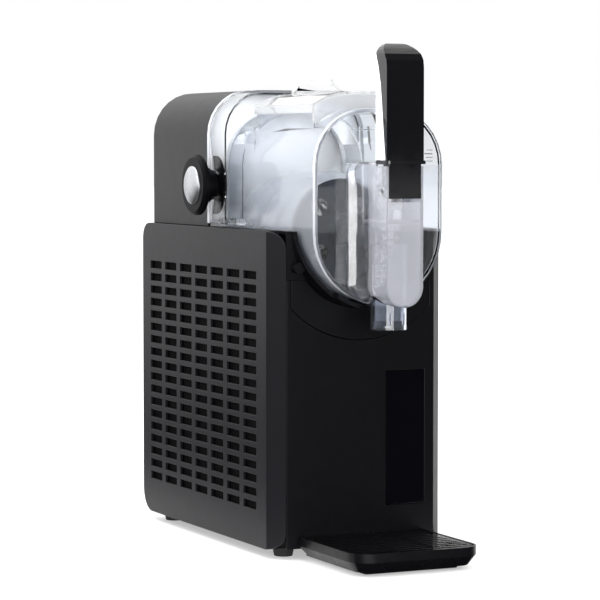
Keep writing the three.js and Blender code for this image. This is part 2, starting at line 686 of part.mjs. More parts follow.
function lid() {
  const half = HOPPER.halfWidth + 2.2;
  const front = HOPPER.front - 2.2;
  const rear = HOPPER.rear + 2.2;
  const plate = prism([...crown(half, 2.8), ...crown(half, GAP).reverse()], front, rear, 'Y');
  const blank = prism([[-half, 407], [half, 407], ...crown(half, 2)], front, rear, 'Y');
  const room = box(-half + 1.8, half - 1.8, front + 1.8, rear - 1.8, 380, 440);
  const trimmed = blank.subtract(room);
  const clips = [-1, 1].map((side) => box(side * 42.5 - 9, side * 42.5 + 9, front, front + 1.8, 397.5, 410));
  const disc = rod('Z', 0, 95, 22, 425, 428.4, 24);
  const grip = prism([[-24, 425.5], [24, 425.5], [24, 429], [15, 439.5], [-15, 439.5], [-24, 429]], 92, 98, 'Y');
  const slot = box(-15.5, 15.5, 91, 99, 433.8, 435.2);
  const dome = prism(vesselOutline(-0.4), VESSEL_FRONT, FLANGE_START, 'Y');
  return cut(union([plate, trimmed, ...clips, disc, grip]), [slot, dome]);
}

// ---------------------------------------------------------------- tap

function spoutHousing() {
  const wall = COLUMN_WALL;
  const half = COLUMN_HALF_WIDTH - wall;
  const outer = columnSolid(COLUMN_FRONT, COLUMN_REAR, 0, COLUMN_TOP);
  const room = columnSolid(COLUMN_FRONT + wall, COLUMN_REAR + 4, wall, COLUMN_TOP - wall);
  const openTop = box(-half, half, COLUMN_FRONT + wall, COLUMN_HOOD_FRONT, 340, COLUMN_TOP + 5);
  const sideTrim = box(-30, 30, COLUMN_FRONT - 1, COLUMN_HOOD_FRONT - 0.8, COLUMN_SIDE_TOP, COLUMN_TOP + 5);
  const tube = rod('Z', 0, TAP_Y, TAP_TUBE_RADIUS, 230, 290, 28).intersect(outer);
  const spigot = rod('Z', 0, TAP_Y, SPIGOT_RADIUS, 222, 242, 28);
  const duct = box(-11, 11, TAP_Y + 12, COLUMN_REAR, 230, 260).intersect(outer);
  const bore = rod('Z', 0, TAP_Y, TAP_BORE, 200, 300, 28);
  const passage = box(-8, 8, TAP_Y, COLUMN_REAR + 2, 245, 256);
  const frontWindow = box(-half, half, COLUMN_FRONT - 2, COLUMN_FRONT + 4, 327.9, COLUMN_TOP + 5);
  const pinHole = rod('X', PIVOT.y, PIVOT.z, PIVOT.radius + GAP, -30, 30, 14);
  const walls = cut(outer, [room, openTop, sideTrim]);
  return cut(union([walls, tube, spigot, duct]), [bore, passage, frontWindow, pinHole]);
}

function nozzle() {
  const body = ring('Z', 0, TAP_Y, NOZZLE_RADIUS, SPIGOT_RADIUS + GAP, NOZZLE_BOTTOM, 250, 32);
  const ribs = [-6.5, 6.5].map((x) => box(x - 0.8, x + 0.8, TAP_Y - 17.1, TAP_Y - 15, 219, 229));
  const column = columnSolid(COLUMN_FRONT - GAP, COLUMN_REAR + 5, -GAP, 300);
  return union([body, ...ribs]).subtract(column);
}

function springGuide() {
  const half = COLUMN_HALF_WIDTH - COLUMN_WALL - GAP;
  const plate = box(-half, half, COLUMN_FRONT + COLUMN_WALL + GAP, COLUMN_REAR - GAP, 309, 312);
  return plate.subtract(rod('Z', 0, TAP_Y, 4.6, 300, 320, 16));
}

function plunger() {
  const piston = rod('Z', 0, TAP_Y, TAP_BORE - 0.5, 246, 272, 28);
  const stem = rod('Z', 0, TAP_Y, 4, 268, 322, 16);
  const base = box(-8, 8, -65.6, -50.3, 320.5, 327.5);
  const pinY = PIVOT.y + LEVER_PIN_REACH;
  const cheeks = [-1, 1].map((side) => box(side * 6.2 - 1.8, side * 6.2 + 1.8, -65.6, -50.3, 322, 344.3));
  const slot = box(-10, 10, pinY - 8.7, pinY + 3.1, PIVOT.z - 3.1, PIVOT.z + 3.1);
  return cut(union([piston, stem, base, ...cheeks]), [slot]);
}

function plungerSeal() {
  return rod('Z', 0, TAP_Y, TAP_BORE - 0.2, 241.5, 246 - GAP, 28);
}

function plungerSpring() {
  const turns = 4.5;
  const steps = 45;
  const bottom = 274;
  const top = 307.5;
  const points = [];
  for (let i = 0; i <= steps; i += 1) {
    const angle = (turns * Math.PI * 2 * i) / steps;
    const z = bottom + ((top - bottom) * i) / steps;
    points.push(new THREE.Vector3(8 * Math.cos(angle), TAP_Y + 8 * Math.sin(angle), z));
  }
  const path = new THREE.CatmullRomCurve3(points);
  const wire = new THREE.Shape(circle(0, 0, 0.9, 5).map(([a, b]) => new THREE.Vector2(a, b)));
  return toSolid(new THREE.ExtrudeGeometry(wire, { steps, bevelEnabled: false, extrudePath: path }));
}

// Side view, in Y and Z, of the surface where the black cover meets the bright insert.
const COVER_BACK = [[-65, 459.5], [-70, 449], [-75, 432], [-78, 412], [-81.5, 385], [-84.5, 364]];

function roundTopBlank(halfWidth, bottom, top, radius) {
  const outline = [
    [-halfWidth, bottom],
    [halfWidth, bottom],
    ...arc(halfWidth - radius, top - radius, radius, 0, 90, 6),
    ...arc(-halfWidth + radius, top - radius, radius, 90, 180, 6),
  ];
  return prism(outline, -100, -40, 'Y');
}

function handleCover() {
  const f = HANDLE_FLANGE;
  const front = [[HANDLE_FRONT, 362], [HANDLE_FRONT, 446], [-86, 452.5], [-82, 458], [-75, 463], [-68, 467],
    [-65.5, HANDLE_TOP - 0.3], [HANDLE_REAR, HANDLE_TOP - 1.5]];
  const paddle = prism([...front, ...COVER_BACK], -PADDLE_HALF_WIDTH, PADDLE_HALF_WIDTH, 'X')
    .intersect(roundTopBlank(PADDLE_HALF_WIDTH, 340, HANDLE_TOP, 13));
  const flange = prism(roundedRect(-f.halfWidth, f.halfWidth, f.front, f.rear, 3, 3), f.bottom, f.top, 'Z');
  const width = TONGUE_HALF_WIDTH;
  const tongue = box(-width, width, HANDLE_FRONT - 0.3, -84.2, 331, f.bottom + 1);
  const neck = box(-width + 0.4, width - 0.4, -84.4, -74, PIVOT.z, f.bottom + 1);
  const eye = rod('X', PIVOT.y, PIVOT.z, 7.2, -width + 0.4, width - 0.4, 28);
  const pinY = PIVOT.y + LEVER_PIN_REACH;
  const finger = box(-3.4, 3.4, PIVOT.y + 2, pinY + 2.5, PIVOT.z - 2.5, PIVOT.z + 2.5);
  const pin = rod('X', pinY, PIVOT.z, 2.5, -7.6, 7.6, 16);
  const hole = rod('X', PIVOT.y, PIVOT.z, PIVOT.radius + GAP, -30, 30, 14);
  return union([paddle, flange, tongue, neck, eye, finger, pin]).subtract(hole);
}

function handleInsert() {
  const back = COVER_BACK.map(([y, z]) => [y + GAP, z - GAP]);
  const outline = [[HANDLE_REAR, 459.2 - GAP], ...back.slice(1, -1), [-84.1, HANDLE_FLANGE.top + GAP],
    [HANDLE_REAR, HANDLE_FLANGE.top + GAP]];
  const half = PADDLE_HALF_WIDTH - 0.4;
  return prism(outline, -half, half, 'X');
}

function pivotPin() {
  return rod('X', PIVOT.y, PIVOT.z, PIVOT.radius, -COLUMN_HALF_WIDTH - 0.2, COLUMN_HALF_WIDTH + 0.2, 14);
}

// ---------------------------------------------------------------- lock knob

function lockBracket() {
  const rear = TOWER_FRONT - GAP;
  const depth = 21.5;
  const halfHeight = 27.5;
  const front = arc(0, 0, 1, 90, 270, 18).map(([y, z]) => [KNOB.y + depth * y, KNOB.z + halfHeight * z]);
  const outline = [...front, [rear, KNOB.z - halfHeight], [rear, KNOB.z + halfHeight]];
  const plate = prism(outline, -79.2, -76.6, 'X');
  const mountFoot = box(-78, -67, 159, BULKHEAD_FRONT - GAP, KNOB.z - 20, KNOB.z + 20);
  return plate.add(mountFoot).subtract(rod('X', KNOB.y, KNOB.z, 6.3, -90, -70, 20));
}

function lockKnob() {
  const disc = skin([[KNOB.outer, 26], [KNOB.outer + 2.5, KNOB.radius], [KNOB.inner, KNOB.radius]]
    .map(([x, r]) => circle(KNOB.y, KNOB.z, r, 32).map(([y, z]) => [x, y, z])));
  const collar = rod('X', KNOB.y, KNOB.z, KNOB_COLLAR.radius, KNOB.inner - 1, KNOB_COLLAR.end, 28);
  const hub = rod('X', KNOB.y, KNOB.z, KNOB.hub, KNOB_COLLAR.end - 1, -79.5, 20);
  const spindle = rod('X', KNOB.y, KNOB.z, 6, -80, -71, 20);
  const recess = rod('X', KNOB.y, KNOB.z, 18.3, KNOB.outer - 1, KNOB.outer + 2, 28);
  return union([disc, collar, hub, spindle]).subtract(recess);
}

function knobCap() {
  return skin([[KNOB.cap, 15.5], [KNOB.cap + 1.6, 18], [KNOB.outer + 2 - GAP, 18]]
    .map(([x, r]) => circle(KNOB.y, KNOB.z, r, 28).map(([y, z]) => [x, y, z])));
}

// ---------------------------------------------------------------- drip tray

function dripTray() {
  const level = (inset, z) => trayOutline(inset).map(([x, y]) => [x, y, z]);
  const rearCut = box(-100, 100, TRAY.rear, 20, 0, 40);
  const hull = skin([level(7.5, 6.6), level(1.5, 14), level(0, 16), level(0, TRAY.top)]);
  const foot = skin([level(17, TRAY.bottom), level(16, 8)]);
  const back = box(-TRAY.halfWidth + 8, TRAY.halfWidth - 8, TRAY.rear - 12, TRAY.rear, 6.6, 16);
  const basin = skin([level(11, 8.2), level(4.5, 14), level(4.5, GRID.bottom - GAP)]);
  const seat = skin([level(2, GRID.bottom - GAP - 0.1), level(2, 30)]);
  const tongue = box(-45, 45, TRAY.rear - 2, 14, 7, 16);
  return cut(union([hull, foot, back]).subtract(rearCut).add(tongue), [basin, seat]);
}

function dripGrid() {
  const plate = prism(trayOutline(2 + GAP), GRID.bottom, GRID.top, 'Z');
  const slots = [];
  const x0 = -TRAY.halfWidth + 8;
  const width = (2 * -x0 - (GRID.groups - 1) * 5) / GRID.groups;
  const pitch = 9.2;
  for (let row = 0; row < GRID.rows; row += 1) {
    const y = -111 + row * pitch;
    const trim = row === 0 ? 10 : 0;
    for (let group = 0; group < GRID.groups; group += 1) {
      const left = x0 + group * (width + 5) + (group === 0 ? trim : 0);
      const right = x0 + group * (width + 5) + width - (group === GRID.groups - 1 ? trim : 0);
      slots.push(box(left, right, y, y + GRID.slot, 10, 30));
    }
  }
  return cut(plate, slots);
}

// ---------------------------------------------------------------- assembly

const machine = new THREE.Group();
machine.position.set(-ORIGIN_X, -ORIGIN_Y, -COUNTER_Z);

function add(name, solid, look) {
  const mesh = new THREE.Mesh(toGeometry(solid), new THREE.MeshStandardMaterial(look));
  mesh.name = name;
  machine.add(mesh);
}

add('base_pan', basePan(), BLACK_PLASTIC);
add('left_side_panel', sidePanel(-1), GREY_PLASTIC);
add('right_side_panel', sidePanel(1), GREY_PLASTIC);
add('lower_front_panel', lowerFrontPanel(), BLACK_PLASTIC);
add('arc_fascia', arcFascia(), BLACK_PLASTIC);
add('cradle_deck', cradleDeck(), BLACK_PLASTIC);
add('rear_deck', rearDeck(), BLACK_PLASTIC);
add('rear_panel', rearPanel(), BLACK_PLASTIC);
add('display_glass', displayGlass(), GLOSS_BLACK);
add('display_board', displayBoard(), BOARD_GREEN);
add('power_inlet', powerInlet(), BLACK_PLASTIC);
REAR_SCREWS.forEach(([x, z], i) => {
  add(`rear_screw_${i + 1}`, rearScrew(x, z), STEEL);
});
[[-65, 28], [65, 28], [-68, 282], [68, 282]].forEach(([x, y], i) => {
  add(`foot_${i + 1}`, foot(x, y), RUBBER);
});

add('tower_shell', towerShell(), GREY_PLASTIC);
add('bulkhead', bulkhead(), WHITE_PLASTIC);
add('evaporator_drum', evaporatorDrum(), STEEL);
add('front_bearing', frontBearing(), WHITE_PLASTIC);
add('auger', auger(), WHITE_PLASTIC);
add('drive_shaft', driveShaft(), STEEL);
add('gearbox', gearbox(), BLACK_PLASTIC);
add('drive_motor', driveMotor(), DARK_METAL);

add('compressor', compressor(), DARK_METAL);
add('condenser_core', condenserCore(), ALUMINIUM);
add('fan_shroud', fanShroud(), BLACK_PLASTIC);
add('fan_rotor', fanRotor(), BLACK_PLASTIC);
add('fan_motor', fanMotor(), DARK_METAL);
add('suction_line', suctionLine(), COPPER);
add('liquid_line', liquidLine(), COPPER);
add('control_board', controlBoard(), BOARD_GREEN);

add('vessel', vessel(), CLEAR_PLASTIC);
add('vessel_seal', vesselSeal(), RUBBER);
add('lid', lid(), CLEAR_PLASTIC);

add('spout_housing', spoutHousing(), CLEAR_PLASTIC);
add('nozzle', nozzle(), CLEAR_PLASTIC);
add('spring_guide', springGuide(), CLEAR_PLASTIC);
add('plunger', plunger(), WHITE_PLASTIC);
add('plunger_seal', plungerSeal(), RUBBER);
add('plunger_spring', plungerSpring(), STEEL);
add('handle_cover', handleCover(), GLOSS_BLACK);
add('handle_insert', handleInsert(), CHROME);
add('pivot_pin', pivotPin(), STEEL);

add('lock_bracket', lockBracket(), BLACK_PLASTIC);
add('lock_knob', lockKnob(), BLACK_PLASTIC);
add('knob_cap', knobCap(), CHROME);

add('drip_tray', dripTray(), BLACK_PLASTIC);
add('drip_grid', dripGrid(), BLACK_PLASTIC);

export default machine;
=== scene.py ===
"""Looks for a counter-top slushie machine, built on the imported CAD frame."""

import math

import bpy
import bmesh
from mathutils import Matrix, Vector


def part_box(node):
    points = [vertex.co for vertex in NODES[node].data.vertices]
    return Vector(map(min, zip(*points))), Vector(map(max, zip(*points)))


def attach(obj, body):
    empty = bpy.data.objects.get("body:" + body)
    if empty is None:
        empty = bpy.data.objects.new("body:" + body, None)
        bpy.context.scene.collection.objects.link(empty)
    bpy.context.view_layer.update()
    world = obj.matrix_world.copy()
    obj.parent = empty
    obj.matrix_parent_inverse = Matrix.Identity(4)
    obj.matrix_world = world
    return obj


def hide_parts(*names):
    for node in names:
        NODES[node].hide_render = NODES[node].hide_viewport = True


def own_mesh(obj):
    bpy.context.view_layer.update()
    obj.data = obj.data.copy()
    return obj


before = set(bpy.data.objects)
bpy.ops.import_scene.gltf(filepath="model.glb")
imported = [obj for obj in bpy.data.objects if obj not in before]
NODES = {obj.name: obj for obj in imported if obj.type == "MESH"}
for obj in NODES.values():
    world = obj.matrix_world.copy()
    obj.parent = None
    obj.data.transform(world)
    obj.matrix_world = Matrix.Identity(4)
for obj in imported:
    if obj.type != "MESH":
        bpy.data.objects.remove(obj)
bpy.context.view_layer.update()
SCENE = bpy.context.scene
MM = 0.001

# the CAD's drawing origin (front panel, mid plane, a little under the counter) in the row frame, in mm
ORIGIN_X = 8.75
ORIGIN_Y = -98.0
ORIGIN_Z = -3.4


def at(x, y, z):
    """A point of the drawing, in mm, as a row-frame point in metres."""
    return Vector(((x + ORIGIN_X) * MM, (y + ORIGIN_Y) * MM, (z + ORIGIN_Z) * MM))


# ------------------------------------------------------------------ camera

YAW = math.radians(25.14)
PITCH = math.radians(3.38)
CAMERA_PLACE = at(-1050.66, -2108.34, 376.38)
FOCAL_LENGTH = 155.44
SENSOR_WIDTH = 36
camera = bpy.data.objects.new("camera", bpy.data.cameras.new("camera"))
SCENE.collection.objects.link(camera)
SCENE.camera = camera
camera.location = CAMERA_PLACE
camera.rotation_euler = (math.pi / 2 - PITCH, 0, -YAW)
camera.data.sensor_width = SENSOR_WIDTH
camera.data.lens = FOCAL_LENGTH
camera.data.clip_end = 50
SCENE.view_settings.view_transform = "Standard"


# ------------------------------------------------------------------ materials

class Graph:
    """A small helper round one material's node tree."""

    def __init__(self, name):
        self.material = bpy.data.materials.new(name)
        self.material.use_nodes = True
        self.tree = self.material.node_tree
        self.shader = self.tree.nodes["Principled BSDF"]
        self.coords = self.node("ShaderNodeTexCoord").outputs["Object"]

    def node(self, kind, **settings):
        made = self.tree.nodes.new(kind)
        for key, value in settings.items():
            setattr(made, key, value)
        return made

    def link(self, source, target):
        self.tree.links.new(source, target)

    def set(self, **values):
        """Sets the shader's own sockets, named with _ for each space."""
        for key, value in values.items():
            self.shader.inputs[key.replace("_", " ")].default_value = value

    def noise(self, scale, detail=3.0, stretch=(1, 1, 1), roughness=0.5):
        mapping = self.node("ShaderNodeMapping")
        mapping.inputs["Scale"].default_value = stretch
        self.link(self.coords, mapping.inputs["Vector"])
        noise = self.node("ShaderNodeTexNoise")
        noise.inputs["Scale"].default_value = scale
        noise.inputs["Detail"].default_value = detail
        noise.inputs["Roughness"].default_value = roughness
        self.link(mapping.outputs["Vector"], noise.inputs["Vector"])
        return noise.outputs["Fac"]

    def spread(self, source, low, high):
        """Maps the useful middle of a noise onto low..high."""
        ranged = self.node("ShaderNodeMapRange")
        ranged.inputs["From Min"].default_value = 0.3
        ranged.inputs["From Max"].default_value = 0.7
        ranged.inputs["To Min"].default_value = low
        ranged.inputs["To Max"].default_value = high
        self.link(source, ranged.inputs["Value"])
        return ranged.outputs["Result"]

    def tint(self, source, dark, light):
        ramp = self.node("ShaderNodeValToRGB")
        ramp.color_ramp.elements[0].position = 0.3
        ramp.color_ramp.elements[1].position = 0.7
        ramp.color_ramp.elements[0].color = (*dark, 1)
        ramp.color_ramp.elements[1].color = (*light, 1)
        self.link(source, ramp.inputs["Fac"])
        self.link(ramp.outputs["Color"], self.shader.inputs["Base Color"])

    def bump(self, source, strength, distance):
        bump = self.node("ShaderNodeBump")
        bump.inputs["Strength"].default_value = strength
        bump.inputs["Distance"].default_value = distance
        self.link(source, bump.inputs["Height"])
        self.link(bump.outputs["Normal"], self.shader.inputs["Normal"])


def smooth_ramp(tree, source, start, end, low, high):
    """Maps start..end of a value smoothly onto low..high."""
    ramp = tree.nodes.new("ShaderNodeMapRange")
    ramp.interpolation_type = "SMOOTHSTEP"
    for key, value in (("From Min", start), ("From Max", end), ("To Min", low), ("To Max", high)):
        ramp.inputs[key].default_value = value
    tree.links.new(source, ramp.inputs["Value"])
    return ramp.outputs["Result"]


def shades(colour, change):
    """A colour's darker and lighter neighbours."""
    return [c * (1 - change) for c in colour], [min(1, c * (1 + change)) for c in colour]


def plastic(name, colour, rough, grain=900, grain_depth=0.00006, grain_strength=0.25, change=0.12,
            cloud=18, rough_change=0.05, specular=0.5, coat=0.0):
    """Moulded plastic: spark-eroded grain, faint clouding and small changes of gloss."""
    g = Graph(name)
    g.tint(g.noise(cloud, 5), *shades(colour, change))
    g.link(g.spread(g.noise(cloud * 5, 4), rough - rough_change, rough + rough_change),
           g.shader.inputs["Roughness"])
    g.bump(g.noise(grain, 2, roughness=0.6), grain_strength, grain_depth)
    g.set(Specular_IOR_Level=specular, Coat_Weight=coat, Coat_Roughness=0.06)
    return g.material


def clear(name, colour, rough, transmission, change=0.012, wave_depth=0.00002, ior=1.46, rough_change=0.02,
          coat=0.0):
    """Clear or frosted plastic with slight flow waves in its walls."""
    g = Graph(name)
    g.tint(g.noise(25, 3), *shades(colour, change))
    g.link(g.spread(g.noise(60, 3), max(rough - rough_change, 0), rough + rough_change),
           g.shader.inputs["Roughness"])
    g.bump(g.noise(40, 2), 0.2, wave_depth)
    g.set(Coat_Weight=coat, Coat_Roughness=0.03, Transmission_Weight=transmission, IOR=ior)
    return g.material


def metal(name, colour, rough, stretch=(1, 1, 1), scale=300, change=0.1, rough_change=0.06, depth=0.00002,
          metallic=1.0):
    """Metal with a brushed or cast surface."""
    g = Graph(name)
    g.tint(g.noise(scale, 4, stretch), *shades(colour, change))
    g.link(g.spread(g.noise(scale * 1.7, 3, stretch), rough - rough_change, rough + rough_change),
           g.shader.inputs["Roughness"])
    g.bump(g.noise(scale, 3, stretch), 0.3, depth)
    g.set(Metallic=metallic)
    return g.material


def board(name):
    """Green circuit board with paler traces."""
    g = Graph(name)
    g.tint(g.noise(220, 1, (1, 0.15, 1)), (0.008, 0.05, 0.02), (0.03, 0.14, 0.06))
    g.link(g.spread(g.noise(90, 2), 0.3, 0.5), g.shader.inputs["Roughness"])
    g.bump(g.noise(300, 1, (1, 0.15, 1)), 0.3, 0.0001)
    return g.material


SHELL_GREY = plastic("shell_grey", (0.0055, 0.0055, 0.0078), 0.43, change=0.05, rough_change=0.015,
                     specular=0.22)
SHELL_BLACK = plastic("shell_black", (0.0020, 0.0019, 0.0032), 0.38, change=0.06, rough_change=0.02,
                      specular=0.16)
KNOB_BLACK = plastic("knob_black", (0.0020, 0.0019, 0.0030), 0.42, change=0.06, rough_change=0.02,
                     specular=0.06)
TRAY_BLACK = plastic("tray_black", (0.0035, 0.0034, 0.0044), 0.3, grain_strength=0.15, specular=0.2)
GRID_GLOSS = plastic("grid_gloss", (0.003, 0.003, 0.004), 0.07, grain=80, grain_depth=0.00001,
                     grain_strength=0.05, rough_change=0.02)
SILICONE = plastic("pale_silicone", (0.62, 0.64, 0.67), 0.5, grain=300, change=0.04)
MARK = plastic("printed_grey", (0.12, 0.125, 0.14), 0.5, grain=600, change=0.2)
GLOSS = plastic("gloss_black", (0.004, 0.004, 0.005), 0.09, grain=60, grain_depth=0.00003,
                grain_strength=0.08, rough_change=0.03, specular=0.35, coat=0.1)
DISPLAY = plastic("display_glass", (0.001, 0.001, 0.002), 0.05, grain=30, grain_depth=0.00001,
                  grain_strength=0.05, rough_change=0.02, specular=0.35)
CLEAR = clear("clear_vessel", (0.83, 0.86, 0.915), 0.13, 0.88, ior=1.3)
CLEAR_FRONT = clear("clear_front", (0.97, 0.98, 0.99), 0.01, 1.0, ior=1.4, rough_change=0.005)
CLEAR_SKIRT = clear("clear_skirt", (0.95, 0.965, 0.985), 0.02, 1.0, ior=1.15, rough_change=0.005)
# paler frosted plastic for the vessel's edges: a painted highlight
RIM_PAINTED_HIGHLIGHT = clear("rim_painted_highlight", (0.80, 0.82, 0.86), 0.10, 0.55)
CLEAR_LID = clear("clear_lid", (0.985, 0.988, 0.99), 0.03, 0.82, ior=1.3)
FROST = clear("frosted_plastic", (0.93, 0.935, 0.96), 0.22, 0.6, rough_change=0.04)
NOZZLE = clear("clear_nozzle", (0.66, 0.70, 0.78), 0.02, 1.0, ior=1.45, rough_change=0.01)


# where the tap turns from frosted to clear: across the cove in drawing mm, up the spigot in metres
COVE_START = -54
COVE_END = -49
SPIGOT_TOP = 0.231
COLUMN_BOTTOM = 0.238


def tap_plastic(name):
    """The tap's moulding: a frosted column, clear where it flares into the vessel and round its spigot."""
    material = clear(name, (0.70, 0.71, 0.76), 0.14, 0.5, coat=0.8, rough_change=0.03)
    tree = material.node_tree
    parts = tree.nodes.new("ShaderNodeSeparateXYZ")
    tree.links.new(tree.nodes["Texture Coordinate"].outputs["Object"], parts.inputs[0])

    clearest = tree.nodes.new("ShaderNodeMath")
    clearest.operation = "MAXIMUM"
    cove = smooth_ramp(tree, parts.outputs["Y"], at(0, COVE_START, 0).y, at(0, COVE_END, 0).y, 0.76, 0.98)
    spigot = smooth_ramp(tree, parts.outputs["Z"], SPIGOT_TOP, COLUMN_BOTTOM, 0.98, 0.0)
    tree.links.new(cove, clearest.inputs[0])
    tree.links.new(spigot, clearest.inputs[1])
    tree.links.new(clearest.outputs["Value"], tree.nodes["Principled BSDF"].inputs["Transmission Weight"])
    return material


TAP = tap_plastic("tap_plastic")
WHITE = plastic("white_plastic", (0.93, 0.935, 0.94), 0.35, change=0.03)
SMOKE = clear("smoke_plastic", (0.016, 0.024, 0.036), 0.2, 0.1, ior=1.2)
BLADE = clear("blade_plastic", (0.86, 0.88, 0.92), 0.2, 0.75)
# the handle's chrome insert is partly metal and mostly near-white diffuse colour: a painted reflection of
# its bright surroundings
CHROME_PAINTED_SHEEN = metal("chrome_painted_sheen", (0.93, 0.935, 0.94), 0.22, scale=500, change=0.04, rough_change=0.04,
                      metallic=0.2)
CHROME = metal("satin_chrome", (0.48, 0.49, 0.51), 0.36, scale=500, rough_change=0.04)
STEEL = metal("brushed_steel", (0.55, 0.56, 0.58), 0.28, stretch=(1, 14, 1), scale=120)
DARK_METAL = metal("dark_enamel", (0.015, 0.015, 0.017), 0.4, scale=90, metallic=0.3)
INNER_BLACK = plastic("inner_black", (0.012, 0.012, 0.013), 0.5)
# the condenser's fins are near black: painted shade, so the vents show the dark inside of the housing
FINS_PAINTED_SHADE = metal("fins_painted_shade", (0.006, 0.006, 0.007), 0.6, stretch=(1, 1, 0.1), scale=400, metallic=0.2)
# the copper lines are darkened far below copper's own colour: painted shade for the dark inside of the
# housing
COPPER_PAINTED_SHADE = metal("copper_painted_shade", (0.05, 0.026, 0.02), 0.55, scale=150, change=0.18, metallic=0.7)
# near-black sheet behind the grilles: painted shade for the dark inside of the housing
SHADE_SHEET_BLACK = plastic("shade_sheet_black", (0.002, 0.002, 0.0025), 0.9, grain=700, grain_depth=0.0003,
                 grain_strength=0.6, change=0.25, specular=0.1)
BOARD = board("circuit_board")
RUBBER = plastic("rubber", (0.012, 0.012, 0.012), 0.75, grain=500, change=0.2)

LOOKS = {
    SHELL_GREY: ["left_side_panel", "right_side_panel", "tower_shell"],
    SHELL_BLACK: ["lower_front_panel", "arc_fascia", "cradle_deck", "rear_deck", "rear_panel", "base_pan"],
    KNOB_BLACK: ["lock_bracket", "lock_knob"],
    TRAY_BLACK: ["drip_tray"],
    GRID_GLOSS: ["drip_grid"],
    SILICONE: ["vessel_seal"],
    GLOSS: ["handle_cover"],
    DISPLAY: ["display_glass"],
    CLEAR: ["vessel"],
    CLEAR_LID: ["lid"],
    FROST: ["spring_guide"],
    TAP: ["spout_housing"],
    NOZZLE: ["nozzle"],
    WHITE: ["plunger", "front_bearing", "bulkhead"],
    SMOKE: ["auger"],
    CHROME: ["knob_cap"],
    CHROME_PAINTED_SHEEN: ["handle_insert"],
    STEEL: ["evaporator_drum", "drive_shaft", "pivot_pin", "rear_screw_1", "rear_screw_2",
            "rear_screw_3", "rear_screw_4"],
    DARK_METAL: ["compressor", "drive_motor", "fan_motor"],
    INNER_BLACK: ["gearbox", "fan_shroud", "fan_rotor", "power_inlet"],
    FINS_PAINTED_SHADE: ["condenser_core"],
    COPPER_PAINTED_SHADE: ["suction_line", "liquid_line"],
    BOARD: ["control_board", "display_board"],
    RUBBER: ["plunger_seal", "foot_1", "foot_2", "foot_3", "foot_4"],
}
for look, names in LOOKS.items():
    for name in names:
        slots = NODES[name].data.materials
        slots.clear()
        slots.append(look)


def paint_faces(node, look, chosen):
    """Gives some faces a second look. chosen is asked with each face's centre, in drawing mm, and normal."""
    mesh = NODES[node].data
    mesh.materials.append(look)
    index = len(mesh.materials) - 1
    for face in mesh.polygons:
        c = face.center / MM
        if chosen(c.x - ORIGIN_X, c.y - ORIGIN_Y, c.z - ORIGIN_Z, face.normal):
            face.material_index = index


# places along the auger and the vessel, in drawing mm
BLADES_START = 45.5
WALL_BACK = -33
RIM_BACK = -31
SKIRT_START = 121.5
BEAD_START = 151.5


def on_skirt(x, z):
    return abs(x) > 66 or z > 380


def on_right(x, y, n):
    return x > 30 and y < SKIRT_START and abs(n.y) < 0.5


# the vessel's right side lets the background through, high up and low down
paint_faces("vessel", CLEAR_SKIRT, lambda x, y, z, n: on_right(x, y, n) and z > 340)
paint_faces("vessel", CLEAR_FRONT, lambda x, y, z, n: on_right(x, y, n) and z < 300)
# the auger's blades are paler than its front disc
paint_faces("auger", BLADE, lambda x, y, z, n: y > BLADES_START)
# the vessel's front wall is clearer than its sides, and its moulded edges are paler and frosted: a painted
# highlight
paint_faces("vessel", CLEAR_FRONT, lambda x, y, z, n: y < WALL_BACK and abs(n.y) > 0.9)
paint_faces("vessel", RIM_PAINTED_HIGHLIGHT, lambda x, y, z, n: y < RIM_BACK and abs(n.y) < 0.5)
paint_faces("vessel", CLEAR_SKIRT,
            lambda x, y, z, n: y > SKIRT_START and (on_skirt(x, z) or abs(n.y) > 0.9))
# the back bead is paler and frosted too: a painted highlight
paint_faces("vessel", RIM_PAINTED_HIGHLIGHT, lambda x, y, z, n: y > BEAD_START and on_skirt(x, z))

# ------------------------------------------------------------------ edges of the CAD pieces

# bevel widths in mm, and the pieces that have them
EDGES = {
    0.8: ["left_side_panel", "right_side_panel", "tower_shell", "lower_front_panel", "cradle_deck",
          "arc_fascia", "vessel", "lid", "lock_knob", "knob_cap", "drip_tray"],
    0.4: ["spout_housing", "nozzle", "handle_cover", "handle_insert", "drip_grid", "lock_bracket", "auger",
          "display_glass", "rear_panel", "foot_1", "foot_2", "foot_3", "foot_4"],
}
EDGE_ANGLE = 35
LEVER_EDGE_ANGLE = 14  # the lever's faces turn in small steps
WELD_DISTANCE = 0.000002
for node in NODES.values():
    if node.data.has_custom_normals:
        node.data.attributes.remove(node.data.attributes["custom_normal"])
    node.data.shade_smooth()
    weld = node.modifiers.new("weld", "WELD")
    weld.merge_threshold = WELD_DISTANCE
for width, names in EDGES.items():
    for name in names:
        bevel = NODES[name].modifiers.new("bevel", "BEVEL")
        bevel.width = width * MM
        bevel.segments = 2
        bevel.limit_method = "ANGLE"
        bevel.angle_limit = math.radians(LEVER_EDGE_ANGLE if name == "handle_cover" else EDGE_ANGLE)
        bevel.harden_normals = True
        bevel.use_clamp_overlap = True

# ------------------------------------------------------------------ pieces made here


def closed_mesh(name, rings, look, body):
    """A closed tube through rings of points, capped at both ends, riding on a body."""
    bm = bmesh.new()
    loops = [[bm.verts.new(point) for point in ring] for ring in rings]
    for first, second in zip(loops, loops[1:]):
        for i in range(len(first)):
            j = (i + 1) % len(first)
            bm.faces.new((first[i], first[j], second[j], second[i]))
    bm.faces.new(reversed(loops[0]))
    bm.faces.new(loops[-1])
    bmesh.ops.recalc_face_normals(bm, faces=bm.faces)
    mesh = bpy.data.meshes.new(name)
    bm.to_mesh(mesh)
    bm.free()
    mesh.materials.append(look)
    piece = bpy.data.objects.new(name, mesh)
    SCENE.collection.objects.link(piece)
    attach(piece, body)
    return piece


